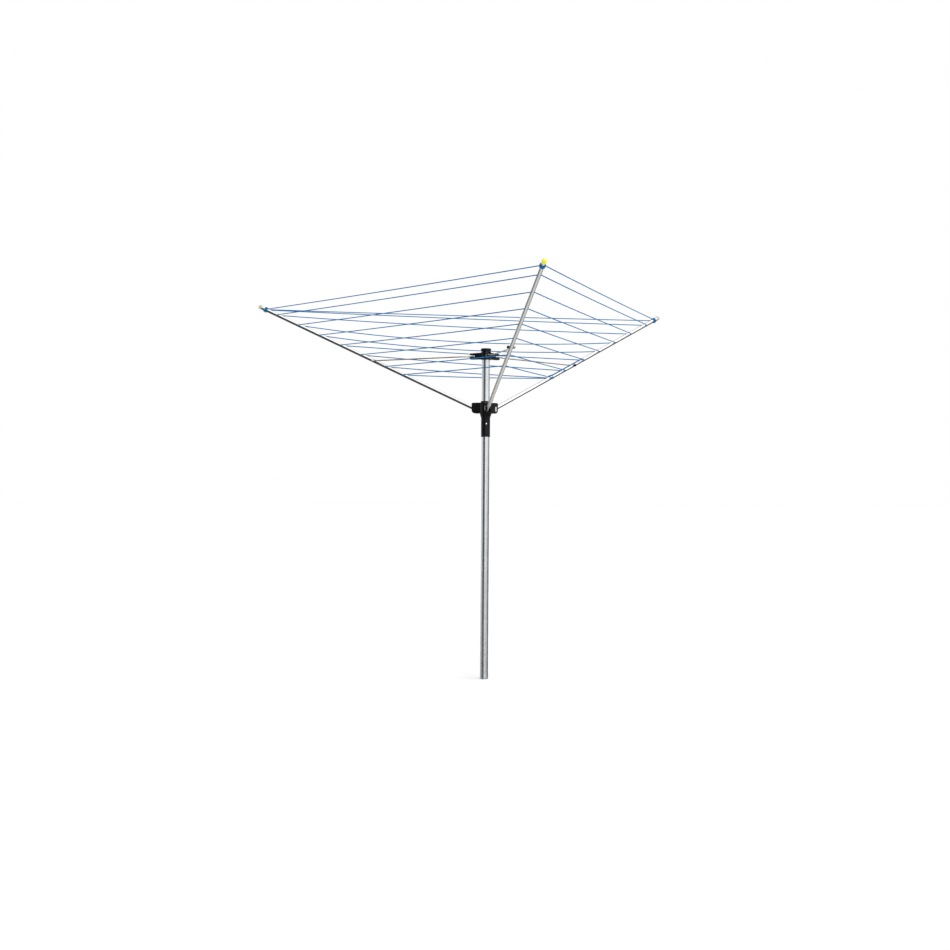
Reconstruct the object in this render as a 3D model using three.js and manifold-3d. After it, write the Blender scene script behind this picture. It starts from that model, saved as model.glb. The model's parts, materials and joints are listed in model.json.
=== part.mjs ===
// Rotary clothesline with three folding arms: a turning pole, a top hub, a runner that slides on
// the pole, three drilled arm tubes, three struts and one line threaded in eight rows.
// Millimetres, +Z up. The origin is the middle of the foot, on the pole's axis.

import * as THREE from "three";
import { mergeVertices } from "three/addons/utils/BufferGeometryUtils.js";
import Module from "manifold-3d";

// Pole
const POLE_RADIUS = 19;
const POLE_WALL = 1.5;
const POLE_TOP = 1560;
const POLE_LIFT = 2;

// Runner and the arm pivots on it
const RUNNER_PIVOT_BELOW_HUB = 251;
const RUNNER_WALL = 9;
const RUNNER_PIVOT_REACH = 23.5;
const RUNNER_ABOVE_PIVOT = 30;
const RUNNER_BELOW_PIVOT = 21;
const RUNNER_TAPER = 23;
const SLEEVE_WALL = 2.2;
const SLEEVE_LENGTH = 89;
const COLLAR_HEIGHT = 7;
const EAR_THICKNESS = 4;
const EAR_REACH = 14.5;
const EAR_LOWER_ROUND = 17;
const EAR_UPPER_ROUND = 7;
const EAR_BOSS_RADIUS = 8.5;
const EAR_BOSS_HEIGHT = 2;

// Top hub and the strut pivots on it
const HUB_PIVOT_BELOW_TOP = 26;
const HUB_WALL = 4.7;
const HUB_PIVOT_REACH = 34;
const HUB_EAR_HEIGHT = 29;
const HUB_EAR_THICKNESS = 6;
const HUB_EAR_REACH = 21;
const HUB_EAR_RISE = 2.5;
const HUB_NOTCH_BELOW = 3.5;
const HUB_NOTCH_ABOVE = 6.5;
const HUB_NECK_WALL = 2.2;
const CAP_OVERHANG = 1;
const CAP_HEIGHT = 10;
const CAP_PLUG_LENGTH = 18;

// Arms
const ARM_SLOPE = THREE.MathUtils.degToRad(24.6);
const ARM_LENGTH = 1252;
const ARM_RADIUS = 9;
const ARM_WALL = 1.2;
const ARM_TAIL = 8;
const ARM_PIN_RADIUS = 3;
const PIN_HEAD_WIDTH = 9;
const PIN_HEAD_HEIGHT = 24;
const PIN_HEAD_THICKNESS = 1.6;
const ROOT_PLUG_LENGTH = 40;
const END_CAP_WALL = 2;
const END_CAP_NECK_WALL = 0.4;
const END_CAP_PLUG_LENGTH = 14;

// Struts
const STRUT_PIVOT_ALONG = 580;
const STRUT_RADIUS = 3;
const STRUT_PIN_RADIUS = 2.7;
const STRUT_EYE_RADIUS = 7;
const STRUT_EYE_THICKNESS = 5;
const STRUT_CRANK_START = 27;
const STRUT_CRANK_LENGTH = 36;
const STUD_RADIUS = 3;
const NUT_RADIUS = 6.5;
const NUT_HEIGHT = 10;

// Line
const ROW_FROM_TIP = [22, 92, 222, 352, 477, 597, 742, 842];
const LINE_RADIUS = 2.25;
const LINE_CLEARANCE = 0.95;
const KNOT_RADIUS = 6;
const HITCH_TURNS = 3;
const LINE_BESIDE = 6;
const TAIL_END_ROW = 5;

// Lock button and its spring
const BUTTON_BELOW_PIVOT = 71;
const BUTTON_RADIUS = 4.7;
const BUTTON_PROUD = 1.4;
const BUTTON_FLANGE = 1.8;
const SPRING_WIDTH = 8;
const SPRING_THICKNESS = 0.8;
const SPRING_LENGTH = 62;

// Foot
const FOOT_PLUG_HEIGHT = 30;
const SPIGOT_RADIUS = 9;
const SPIGOT_HEIGHT = 24;
const BUSH_ROOF = 5;

// Fits
const GAP = 0.3;
const SLIDE_GAP = 0.5;

// Sizes that follow from the ones above
const POLE_BORE = POLE_RADIUS - POLE_WALL;
const HUB_PIVOT_HEIGHT = POLE_TOP - HUB_PIVOT_BELOW_TOP;
const RUNNER_PIVOT_HEIGHT = HUB_PIVOT_HEIGHT - RUNNER_PIVOT_BELOW_HUB;
const RUNNER_BORE = POLE_RADIUS + SLIDE_GAP;
const RUNNER_RADIUS = RUNNER_BORE + RUNNER_WALL;
const RUNNER_PIVOT_RADIUS = RUNNER_RADIUS + RUNNER_PIVOT_REACH;
const SLEEVE_RADIUS = RUNNER_BORE + SLEEVE_WALL;
const SLEEVE_TOP = RUNNER_PIVOT_HEIGHT - RUNNER_BELOW_PIVOT - RUNNER_TAPER;
const SLEEVE_BOTTOM = SLEEVE_TOP - SLEEVE_LENGTH;
const RUNNER_TOP = RUNNER_PIVOT_HEIGHT + RUNNER_ABOVE_PIVOT;
const HUB_BORE = POLE_RADIUS + GAP;
const HUB_RADIUS = HUB_BORE + HUB_WALL;
const HUB_PIVOT_RADIUS = HUB_RADIUS + HUB_PIVOT_REACH;
const HUB_TOP = POLE_TOP + GAP;
const HUB_BOTTOM = HUB_PIVOT_HEIGHT - HUB_EAR_HEIGHT / 2 - 3;
const ARM_BORE = ARM_RADIUS - ARM_WALL;
const END_CAP_RADIUS = ARM_RADIUS + END_CAP_WALL;
const ROW_ALONG = ROW_FROM_TIP.map((fromTip) => ARM_LENGTH - fromTip);
const LINE_HOLE_RADIUS = LINE_RADIUS + LINE_CLEARANCE;
const EAR_INNER = ARM_RADIUS + 0.6;
const EAR_OUTER = EAR_INNER + EAR_THICKNESS;
const HUB_EAR_INNER = STRUT_RADIUS + 0.6;
const HUB_EAR_OUTER = HUB_EAR_INNER + HUB_EAR_THICKNESS;
const ARM_SWING = Math.hypot(ARM_TAIL, ARM_RADIUS) + 0.4;
const STRUT_SIDE = ARM_RADIUS + 0.6;
const STRUT_OFFSET = STRUT_SIDE + STRUT_RADIUS + 0.9;
const STRUT_EYE_OUTER = STRUT_SIDE + STRUT_EYE_THICKNESS;
const LINE_SIDE = ARM_RADIUS + LINE_RADIUS + 0.8;
const BUTTON_HEIGHT = RUNNER_PIVOT_HEIGHT - BUTTON_BELOW_PIVOT;
const CLIP_RADIUS = RUNNER_PIVOT_RADIUS + STRUT_PIVOT_ALONG * Math.cos(ARM_SLOPE);
const CLIP_HEIGHT = RUNNER_PIVOT_HEIGHT + STRUT_PIVOT_ALONG * Math.sin(ARM_SLOPE);
const STRUT_LENGTH = Math.hypot(CLIP_RADIUS - HUB_PIVOT_RADIUS, CLIP_HEIGHT - HUB_PIVOT_HEIGHT);
const STRUT_DROP = Math.atan2(HUB_PIVOT_HEIGHT - CLIP_HEIGHT, CLIP_RADIUS - HUB_PIVOT_RADIUS);

// Azimuth of each arm: the first points to the front, the others follow anticlockwise.
const AZIMUTHS = [-90, 30, 150].map(THREE.MathUtils.degToRad);

const galvanised = new THREE.MeshStandardMaterial({ color: 0xb9bfc2, roughness: 0.32, metalness: 1 });
const aluminium = new THREE.MeshStandardMaterial({ color: 0xcfcfd2, roughness: 0.3, metalness: 1 });
const strutSteel = new THREE.MeshStandardMaterial({ color: 0x8d857c, roughness: 0.45, metalness: 1 });
const brightSteel = new THREE.MeshStandardMaterial({ color: 0xe4e6e8, roughness: 0.2, metalness: 1 });
const blackPlastic = new THREE.MeshStandardMaterial({ color: 0x17181b, roughness: 0.45, metalness: 0 });
const greyPlastic = new THREE.MeshStandardMaterial({ color: 0xc9cbc8, roughness: 0.5, metalness: 0 });
const paleCap = new THREE.MeshStandardMaterial({ color: 0xd6d8cb, roughness: 0.45, metalness: 0 });
const yellowCap = new THREE.MeshStandardMaterial({ color: 0xe6e22c, roughness: 0.45, metalness: 0 });
const blueLine = new THREE.MeshStandardMaterial({ color: 0x3f7fc0, roughness: 0.6, metalness: 0 });

const wasm = await Module();
wasm.setup();

// A closed three.js geometry as a solid for joining and cutting.
function solid(geometry) {
  const bare = geometry.clone();
  bare.deleteAttribute("normal");
  bare.deleteAttribute("uv");
  const merged = mergeVertices(bare, 1e-4);
  const corners = merged.index.array;
  const kept = [];
  for (let i = 0; i < corners.length; i += 3) {
    const [a, b, c] = [corners[i], corners[i + 1], corners[i + 2]];
    if (a !== b && b !== c && c !== a) kept.push(a, b, c);
  }
  return new wasm.Manifold(new wasm.Mesh({
    numProp: 3,
    vertProperties: Float32Array.from(merged.attributes.position.array),
    triVerts: Uint32Array.from(kept),
  }));
}

// The vertices and triangles of a solid, ready for a mesh.
function surface(body) {
  const mesh = body.getMesh();
  const geometry = new THREE.BufferGeometry();
  geometry.setAttribute("position", new THREE.BufferAttribute(Float32Array.from(mesh.vertProperties), 3));
  geometry.setIndex(Array.from(mesh.triVerts));
  geometry.computeVertexNormals();
  return geometry;
}

// A part turned about Z from [radius, height] points.
function turned(points, segments) {
  const profile = points.map(([r, z]) => new THREE.Vector2(r, z));
  return new THREE.LatheGeometry(profile, segments).rotateX(Math.PI / 2);
}

// A ring with a square section, turned about Z.
function ring(inner, outer, bottom, top, segments) {
  return turned([[inner, bottom], [outer, bottom], [outer, top], [inner, top], [inner, bottom]], segments);
}

// A plain round bar about Z.
function bar(radius, bottom, top, segments) {
  return turned([[0, bottom], [radius, bottom], [radius, top], [0, top]], segments);
}

// A drill for a hole of a true radius: the facets stand outside the circle.
function drill(radius, bottom, top, segments = 16) {
  return bar(radius / Math.cos(Math.PI / segments), bottom, top, segments);
}

// Turns a part made about Z so that it lies along Y, or along X.
function alongY(geometry) {
  return geometry.rotateX(-Math.PI / 2);
}

function alongX(geometry) {
  return geometry.rotateY(Math.PI / 2);
}

// A flat plate in the X-Z plane between two Y values, from an outline of [x, z] points.
function plate(shape, near, far) {
  const settings = { depth: far - near, bevelEnabled: false, curveSegments: 6 };
  const geometry = new THREE.ExtrudeGeometry(shape, settings);
  return geometry.rotateX(Math.PI / 2).translate(0, far, 0);
}

// A tube of round section along straight stretches, mitred at each corner.
function mitredTube(points, radius, sides) {
  const count = points.length;
  const positions = [];
  const indices = [];
  for (let i = 0; i < count; i += 1) {
    const before = i > 0 ? points[i - 1] : null;
    const after = i < count - 1 ? points[i + 1] : null;
    const incoming = before ? points[i].clone().sub(before).normalize() : null;
    const outgoing = after ? after.clone().sub(points[i]).normalize() : null;
    const along = (incoming ?? outgoing).clone();
    const cut = along.clone().add(outgoing ?? incoming).normalize();
    const side = new THREE.Vector3(0, 0, 1).cross(along).normalize();
    const up = along.clone().cross(side);
    for (let k = 0; k < sides; k += 1) {
      const angle = (k + 0.5) * 2 * Math.PI / sides;
      const spoke = side.clone().multiplyScalar(radius * Math.cos(angle));
      spoke.addScaledVector(up, radius * Math.sin(angle));
      spoke.addScaledVector(along, -spoke.dot(cut) / along.dot(cut));
      positions.push(...points[i].clone().add(spoke).toArray());
    }
  }
  for (let i = 0; i < count - 1; i += 1) {
    const next = i + 1;
    for (let k = 0; k < sides; k += 1) {
      const [a, b] = [i * sides + k, i * sides + (k + 1) % sides];
      const [c, d] = [next * sides + k, next * sides + (k + 1) % sides];
      indices.push(a, b, c, b, d, c);
    }
  }
  const last = (count - 1) * sides;
  for (let k = 1; k < sides - 1; k += 1) {
    indices.push(0, k + 1, k);
    indices.push(last, last + k, last + k + 1);
  }
  const geometry = new THREE.BufferGeometry();
  geometry.setAttribute("position", new THREE.Float32BufferAttribute(positions, 3));
  geometry.setIndex(indices);
  return geometry;
}

// A rivet about Y with a domed head at each end of its shank.
function rivet(shank, reach, headRadius, headHeight, segments) {
  const end = reach + headHeight;
  const profile = [
    [0, -end], [headRadius * 0.6, -end], [headRadius, -end + headHeight * 0.5], [headRadius, -reach],
    [shank, -reach], [shank, reach],
    [headRadius, reach], [headRadius, end - headHeight * 0.5], [headRadius * 0.6, end], [0, end],
  ];
  return alongY(turned(profile, segments));
}

function piece(name, geometry, material) {
  const mesh = new THREE.Mesh(geometry, material);
  mesh.name = name;
  return mesh;
}

const clothesline = new THREE.Group();

// Foot plug: stands in the ground socket and doesn't turn. Its spigot carries the pole.
const spigotTop = FOOT_PLUG_HEIGHT + SPIGOT_HEIGHT;
const footPlug = turned([
  [0, 0], [POLE_BORE - 2.5, 0], [POLE_BORE - 0.5, 2], [POLE_BORE - 0.5, FOOT_PLUG_HEIGHT],
  [SPIGOT_RADIUS, FOOT_PLUG_HEIGHT], [SPIGOT_RADIUS, spigotTop - 3], [SPIGOT_RADIUS - 3, spigotTop],
  [0, spigotTop],
], 36);
clothesline.add(piece("foot_plug", footPlug, greyPlastic));

// Foot bush: a cup pressed in the pole, turning on the spigot.
const bushBottom = FOOT_PLUG_HEIGHT + GAP;
const bushRoof = spigotTop + GAP;
const footBush = turned([
  [0, bushRoof], [SPIGOT_RADIUS + GAP, bushRoof], [SPIGOT_RADIUS + GAP, bushBottom],
  [POLE_BORE - GAP, bushBottom], [POLE_BORE - GAP, bushRoof + BUSH_ROOF], [0, bushRoof + BUSH_ROOF],
], 36);
clothesline.add(piece("foot_bush", footBush, blackPlastic));

// Pole: a plain tube with a hole for the lock button in front and one for the hub screw behind.
const screwHeight = HUB_PIVOT_HEIGHT - 6;
const screwRadius = 1.7;
const poleTube = solid(ring(POLE_BORE, POLE_RADIUS, POLE_LIFT, POLE_TOP, 48))
  .subtract(solid(alongY(drill(BUTTON_RADIUS + GAP, -POLE_RADIUS - 2, -POLE_BORE + 4, 24))
    .translate(0, 0, BUTTON_HEIGHT)))
  .subtract(solid(alongY(drill(screwRadius + GAP, POLE_BORE - 4, POLE_RADIUS + 2))
    .translate(0, 0, screwHeight)));
clothesline.add(piece("pole_tube", surface(poleTube), galvanised));

// Lock button: a domed steel button with a flange that stops it inside the pole wall.
const buttonTip = -POLE_RADIUS - BUTTON_PROUD;
const flangeRadius = BUTTON_RADIUS + 1.2;
const flangeFace = -Math.sqrt(POLE_BORE ** 2 - flangeRadius ** 2) + GAP + 0.1;
const lockButton = alongY(turned([
  [0, buttonTip], [BUTTON_RADIUS * 0.7, buttonTip + 0.35], [BUTTON_RADIUS, buttonTip + 1.3],
  [BUTTON_RADIUS, flangeFace], [flangeRadius, flangeFace],
  [flangeRadius, flangeFace + BUTTON_FLANGE], [0, flangeFace + BUTTON_FLANGE],
], 24)).translate(0, 0, BUTTON_HEIGHT);
clothesline.add(piece("lock_button", lockButton, brightSteel));

// Button spring: a strip bent into a narrow V, one leg behind the button and one on the far wall.
const springFront = flangeFace + BUTTON_FLANGE + GAP;
const springBack = POLE_BORE - 2.6;
const springTop = BUTTON_HEIGHT + 8;
const springBottom = springTop - SPRING_LENGTH;
const springOutline = new THREE.Shape([
  new THREE.Vector2(springFront, springTop),
  new THREE.Vector2(springFront, springBottom + 10),
  new THREE.Vector2(springFront + 6, springBottom),
  new THREE.Vector2(springBack - 6, springBottom),
  new THREE.Vector2(springBack, springBottom + 10),
  new THREE.Vector2(springBack, springTop),
  new THREE.Vector2(springBack - SPRING_THICKNESS, springTop),
  new THREE.Vector2(springBack - SPRING_THICKNESS, springBottom + 10.5),
  new THREE.Vector2(springBack - 6.4, springBottom + SPRING_THICKNESS),
  new THREE.Vector2(springFront + 6.4, springBottom + SPRING_THICKNESS),
  new THREE.Vector2(springFront + SPRING_THICKNESS, springBottom + 10.5),
  new THREE.Vector2(springFront + SPRING_THICKNESS, springTop),
]);
const buttonSpring = plate(springOutline, -SPRING_WIDTH / 2, SPRING_WIDTH / 2).rotateZ(Math.PI / 2);
clothesline.add(piece("button_spring", buttonSpring, brightSteel));

// Top hub: a barrel round the pole's end, narrower under the cap, with three forks. Each ear has
// a pin hole and, outside it, a notch open at the end, so the fork shows as two prongs from the
// side. The ears stand higher at the barrel than at their ends.
const hubEarEnd = HUB_PIVOT_RADIUS + HUB_EAR_REACH;
const hubEarLow = HUB_PIVOT_HEIGHT - HUB_EAR_HEIGHT / 2;
const hubEarHigh = HUB_PIVOT_HEIGHT + HUB_EAR_HEIGHT / 2;
const hubNeckRadius = HUB_BORE + HUB_NECK_WALL;
let topHub = solid(turned([
  [HUB_BORE, HUB_BOTTOM], [HUB_RADIUS - 1.5, HUB_BOTTOM], [HUB_RADIUS, HUB_BOTTOM + 1.5],
  [HUB_RADIUS, hubEarHigh + 3.5], [hubNeckRadius, hubEarHigh + 5], [hubNeckRadius, HUB_TOP],
  [HUB_BORE, HUB_TOP], [HUB_BORE, HUB_BOTTOM],
], 40));
const notchStart = HUB_PIVOT_RADIUS + STRUT_PIN_RADIUS + 3.5;
const notchLow = HUB_PIVOT_HEIGHT - HUB_NOTCH_BELOW;
const notchHigh = HUB_PIVOT_HEIGHT + HUB_NOTCH_ABOVE;
const hubEar = new THREE.Shape();
hubEar.moveTo(HUB_BORE + 2, hubEarLow);
hubEar.lineTo(hubEarEnd - 5, hubEarLow);
hubEar.absarc(hubEarEnd - 5, hubEarLow + 5, 5, -Math.PI / 2, 0, false);
hubEar.lineTo(hubEarEnd, notchLow);
hubEar.lineTo(notchStart, notchLow);
hubEar.lineTo(notchStart, notchHigh);
hubEar.lineTo(hubEarEnd, notchHigh);
hubEar.lineTo(hubEarEnd, hubEarHigh - 5);
hubEar.absarc(hubEarEnd - 5, hubEarHigh - 5, 5, 0, Math.PI / 2, false);
hubEar.lineTo(HUB_RADIUS + 2, hubEarHigh + HUB_EAR_RISE);
hubEar.lineTo(HUB_BORE + 2, hubEarHigh + HUB_EAR_RISE);
const hubWebEnd = HUB_PIVOT_RADIUS - STRUT_EYE_RADIUS - 3;
const hubWeb = new THREE.Shape([
  new THREE.Vector2(HUB_BORE + 2, hubEarLow), new THREE.Vector2(hubWebEnd, hubEarLow),
  new THREE.Vector2(hubWebEnd, hubEarHigh), new THREE.Vector2(HUB_BORE + 2, hubEarHigh),
]);
for (const azimuth of AZIMUTHS) {
  const parts = [
    plate(hubEar, HUB_EAR_INNER, HUB_EAR_OUTER),
    plate(hubEar, -HUB_EAR_OUTER, -HUB_EAR_INNER),
    plate(hubWeb, -HUB_EAR_INNER - 1, HUB_EAR_INNER + 1),
  ];
  for (const part of parts) topHub = topHub.add(solid(part.rotateZ(azimuth)));
  const pinHole = alongY(drill(STRUT_PIN_RADIUS + GAP, -HUB_EAR_OUTER - 1, HUB_EAR_OUTER + 1))
    .translate(HUB_PIVOT_RADIUS, 0, HUB_PIVOT_HEIGHT).rotateZ(azimuth);
  topHub = topHub.subtract(solid(pinHole));
}
topHub = topHub.subtract(solid(alongY(drill(screwRadius + GAP, HUB_BORE - 3, HUB_RADIUS + 3))
  .translate(0, 0, screwHeight)));
clothesline.add(piece("top_hub", surface(topHub), blackPlastic));

// Top cap: a dished disc on the hub, with a plug that fits in the pole.
const capBottom = HUB_TOP + GAP;
const capTop = capBottom + CAP_HEIGHT;
const capRadius = HUB_RADIUS + CAP_OVERHANG;
const topCap = turned([
  [0, POLE_TOP - CAP_PLUG_LENGTH], [POLE_BORE - 1.3, POLE_TOP - CAP_PLUG_LENGTH],
  [POLE_BORE - GAP, POLE_TOP - CAP_PLUG_LENGTH + 1.5], [POLE_BORE - GAP, capBottom],
  [capRadius - 1, capBottom], [capRadius, capBottom + 2], [capRadius, capTop - 2.5],
  [capRadius - 1, capTop - 0.6], [capRadius - 3, capTop], [capRadius - 5.5, capTop - 1],
  [capRadius - 8, capTop - 3], [0, capTop - 3],
], 36);
clothesline.add(piece("top_cap", topCap, blackPlastic));

// Hub screw: a pan-head screw through the barrel and the pole wall, behind.
const screwHead = HUB_RADIUS + GAP;
const hubScrew = alongY(turned([
  [0, POLE_BORE - 3], [screwRadius, POLE_BORE - 1.5], [screwRadius, screwHead], [4, screwHead],
  [4, screwHead + 1.4], [2.6, screwHead + 2.5], [0, screwHead + 2.5],
], 24)).translate(0, 0, screwHeight);
clothesline.add(piece("hub_screw", hubScrew, brightSteel));

// Runner: a barrel with three forks, a taper and a long sleeve. One ear of each fork has a boss
// that closes its pin hole. A groove inside lets the button pass as the runner slides down, and a
// round hole shows it when the runner is locked.
const collarTop = RUNNER_TOP + COLLAR_HEIGHT;
const runnerBottom = RUNNER_PIVOT_HEIGHT - RUNNER_BELOW_PIVOT;
let runnerHub = solid(turned([
  [RUNNER_BORE, SLEEVE_BOTTOM], [SLEEVE_RADIUS, SLEEVE_BOTTOM], [SLEEVE_RADIUS + 0.5, SLEEVE_BOTTOM + 0.8],
  [SLEEVE_RADIUS + 0.5, SLEEVE_BOTTOM + 4], [SLEEVE_RADIUS, SLEEVE_BOTTOM + 5], [SLEEVE_RADIUS, SLEEVE_TOP],
  [RUNNER_RADIUS, runnerBottom], [RUNNER_RADIUS, RUNNER_TOP], [SLEEVE_RADIUS + 2, RUNNER_TOP],
  [SLEEVE_RADIUS + 2, collarTop - 1], [SLEEVE_RADIUS + 1, collarTop], [RUNNER_BORE, collarTop],
  [RUNNER_BORE, SLEEVE_BOTTOM],
], 40));
const earEnd = RUNNER_PIVOT_RADIUS + EAR_REACH;
const ear = new THREE.Shape();
ear.moveTo(RUNNER_BORE + 3, runnerBottom);
ear.lineTo(earEnd - EAR_LOWER_ROUND, runnerBottom);
ear.absarc(earEnd - EAR_LOWER_ROUND, runnerBottom + EAR_LOWER_ROUND, EAR_LOWER_ROUND, -Math.PI / 2, 0, false);
ear.lineTo(earEnd, RUNNER_TOP - EAR_UPPER_ROUND);
ear.absarc(earEnd - EAR_UPPER_ROUND, RUNNER_TOP - EAR_UPPER_ROUND, EAR_UPPER_ROUND, 0, Math.PI / 2, false);
ear.lineTo(RUNNER_BORE + 3, RUNNER_TOP);
const webEnd = RUNNER_PIVOT_RADIUS - ARM_SWING - 1.5;
const web = new THREE.Shape([
  new THREE.Vector2(RUNNER_BORE + 3, runnerBottom), new THREE.Vector2(webEnd, runnerBottom),
  new THREE.Vector2(webEnd, RUNNER_TOP), new THREE.Vector2(RUNNER_BORE + 3, RUNNER_TOP),
]);
for (const azimuth of AZIMUTHS) {
  const parts = [
    plate(ear, EAR_INNER, EAR_OUTER),
    plate(ear, -EAR_OUTER, -EAR_INNER),
    plate(web, -EAR_INNER - 1, EAR_INNER + 1),
    alongY(bar(EAR_BOSS_RADIUS, EAR_OUTER - 1, EAR_OUTER + EAR_BOSS_HEIGHT, 28))
      .translate(RUNNER_PIVOT_RADIUS, 0, RUNNER_PIVOT_HEIGHT),
  ];
  for (const part of parts) runnerHub = runnerHub.add(solid(part.rotateZ(azimuth)));
  const pinHole = alongY(drill(ARM_PIN_RADIUS + GAP, -EAR_OUTER - 1, EAR_OUTER))
    .translate(RUNNER_PIVOT_RADIUS, 0, RUNNER_PIVOT_HEIGHT).rotateZ(azimuth);
  runnerHub = runnerHub.subtract(solid(pinHole));
}
const grooveHalf = BUTTON_RADIUS + 0.6;
const grooveDepth = POLE_RADIUS + BUTTON_PROUD + GAP;
const groove = new THREE.BoxGeometry(2 * grooveHalf, grooveDepth, collarTop - BUTTON_HEIGHT + 10)
  .translate(0, -grooveDepth / 2, (collarTop + BUTTON_HEIGHT + 10) / 2);
const buttonWindow = alongY(drill(BUTTON_RADIUS + 0.9, -SLEEVE_RADIUS - 2, -RUNNER_BORE + 4, 24))
  .translate(0, 0, BUTTON_HEIGHT);
runnerHub = runnerHub.subtract(solid(groove)).subtract(solid(buttonWindow));
clothesline.add(piece("runner_hub", surface(runnerHub), blackPlastic));

// Arms, struts and their pins, one set to each azimuth. Each arm and strut is made about its own
// pivot with X outward along it, Y to the side on which the strut lies, and Z up.
const rowHoles = ROW_ALONG.map((along) => alongY(drill(LINE_HOLE_RADIUS, -ARM_RADIUS - 1, ARM_RADIUS + 1, 8))
  .translate(along, 0, 0));

// Arm pin head: a tall strip with round ends, which keeps the pin from turning.
const pinHeadRound = PIN_HEAD_WIDTH / 2;
const pinHeadStraight = PIN_HEAD_HEIGHT / 2 - pinHeadRound;
const pinHeadOutline = new THREE.Shape();
pinHeadOutline.absarc(0, pinHeadStraight, pinHeadRound, 0, Math.PI, false);
pinHeadOutline.absarc(0, -pinHeadStraight, pinHeadRound, Math.PI, 2 * Math.PI, false);

AZIMUTHS.forEach((azimuth, index) => {
  const number = index + 1;
  const station = new THREE.Group();
  station.rotation.z = azimuth;
  clothesline.add(station);

  const pinHeadFace = -EAR_OUTER - GAP;
  const pinShank = alongY(bar(ARM_PIN_RADIUS, pinHeadFace - 1, EAR_OUTER - GAP, 20));
  const pinHead = plate(pinHeadOutline, pinHeadFace - PIN_HEAD_THICKNESS, pinHeadFace);
  const armPin = surface(solid(pinShank).add(solid(pinHead)))
    .translate(RUNNER_PIVOT_RADIUS, 0, RUNNER_PIVOT_HEIGHT);
  station.add(piece(`arm_pin_${number}`, armPin, brightSteel));

  const strutPin = rivet(STRUT_PIN_RADIUS, HUB_EAR_OUTER + GAP, 4.6, 1.8, 16)
    .translate(HUB_PIVOT_RADIUS, 0, HUB_PIVOT_HEIGHT);
  station.add(piece(`strut_pin_${number}`, strutPin, brightSteel));

  const arm = new THREE.Group();
  arm.position.set(RUNNER_PIVOT_RADIUS, 0, RUNNER_PIVOT_HEIGHT);
  arm.rotation.y = -ARM_SLOPE;
  station.add(arm);

  // Arm tube, drilled right through for its pin, the strut pivot and the eight rows of line.
  let armTube = solid(alongX(ring(ARM_BORE, ARM_RADIUS, -ARM_TAIL, ARM_LENGTH, 28)));
  armTube = armTube.subtract(solid(alongY(drill(ARM_PIN_RADIUS + GAP, -ARM_RADIUS - 1, ARM_RADIUS + 1))));
  armTube = armTube.subtract(solid(alongY(drill(STUD_RADIUS + GAP, -ARM_RADIUS - 1, ARM_RADIUS + 1))
    .translate(STRUT_PIVOT_ALONG, 0, 0)));
  for (const hole of rowHoles) armTube = armTube.subtract(solid(hole));
  arm.add(piece(`arm_tube_${number}`, surface(armTube), aluminium));

  // Root plug: fills the tube's lower end round the pin and rounds it off.
  const plugEnd = -ARM_TAIL - GAP;
  const rootPlug = solid(alongX(turned([
    [0, plugEnd - 3.4], [ARM_RADIUS - 3.5, plugEnd - 2.6], [ARM_RADIUS - 0.4, plugEnd - 0.6],
    [ARM_RADIUS - 0.2, plugEnd], [ARM_BORE - GAP, plugEnd], [ARM_BORE - GAP, ROOT_PLUG_LENGTH - ARM_TAIL],
    [0, ROOT_PLUG_LENGTH - ARM_TAIL],
  ], 24))).subtract(solid(alongY(drill(ARM_PIN_RADIUS + GAP, -ARM_RADIUS - 1, ARM_RADIUS + 1))));
  arm.add(piece(`arm_root_${number}`, surface(rootPlug), greyPlastic));

  // End cap: a ball on a short neck, with a plug inside the tube.
  const capCentre = ARM_LENGTH + END_CAP_RADIUS;
  const neckRadius = ARM_RADIUS + END_CAP_NECK_WALL;
  const neckAngle = Math.PI - Math.asin(neckRadius / END_CAP_RADIUS);
  const plugRadius = ARM_BORE - GAP;
  const ball = Array.from({ length: 7 }, (_, i) => {
    const angle = neckAngle * (1 - i / 7);
    return [END_CAP_RADIUS * Math.sin(angle), capCentre + END_CAP_RADIUS * Math.cos(angle)];
  });
  const endCap = alongX(turned([
    [0, ARM_LENGTH - END_CAP_PLUG_LENGTH], [plugRadius - 1, ARM_LENGTH - END_CAP_PLUG_LENGTH],
    [plugRadius, ARM_LENGTH - END_CAP_PLUG_LENGTH + 1.5], [plugRadius, ARM_LENGTH + GAP],
    [neckRadius, ARM_LENGTH + GAP], ...ball, [0, capCentre + END_CAP_RADIUS],
  ], 24));
  arm.add(piece(`arm_cap_${number}`, endCap, index === 0 ? yellowCap : paleCap));

  // Strut pivot on the arm: a stud through the tube and a knob nut on its far end.
  const nutFace = -ARM_RADIUS - 0.6;
  const studEnd = nutFace - NUT_HEIGHT * 0.65;
  const stud = alongY(bar(STUD_RADIUS, studEnd, ARM_RADIUS - 0.4, 20)).translate(STRUT_PIVOT_ALONG, 0, 0);
  arm.add(piece(`pivot_stud_${number}`, stud, brightSteel));
  const nut = alongY(turned([
    [STUD_RADIUS + GAP, nutFace], [STUD_RADIUS + GAP, studEnd - GAP], [0, studEnd - GAP],
    [0, nutFace - NUT_HEIGHT], [NUT_RADIUS * 0.6, nutFace - NUT_HEIGHT],
    [NUT_RADIUS * 0.92, nutFace - NUT_HEIGHT * 0.8], [NUT_RADIUS, nutFace - NUT_HEIGHT * 0.5],
    [NUT_RADIUS, nutFace], [STUD_RADIUS + GAP, nutFace],
  ], 24)).translate(STRUT_PIVOT_ALONG, 0, 0);
  arm.add(piece(`pivot_nut_${number}`, nut, blackPlastic));

  const strut = new THREE.Group();
  strut.position.set(HUB_PIVOT_RADIUS, 0, HUB_PIVOT_HEIGHT);
  strut.rotation.y = STRUT_DROP;
  station.add(strut);

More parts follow.
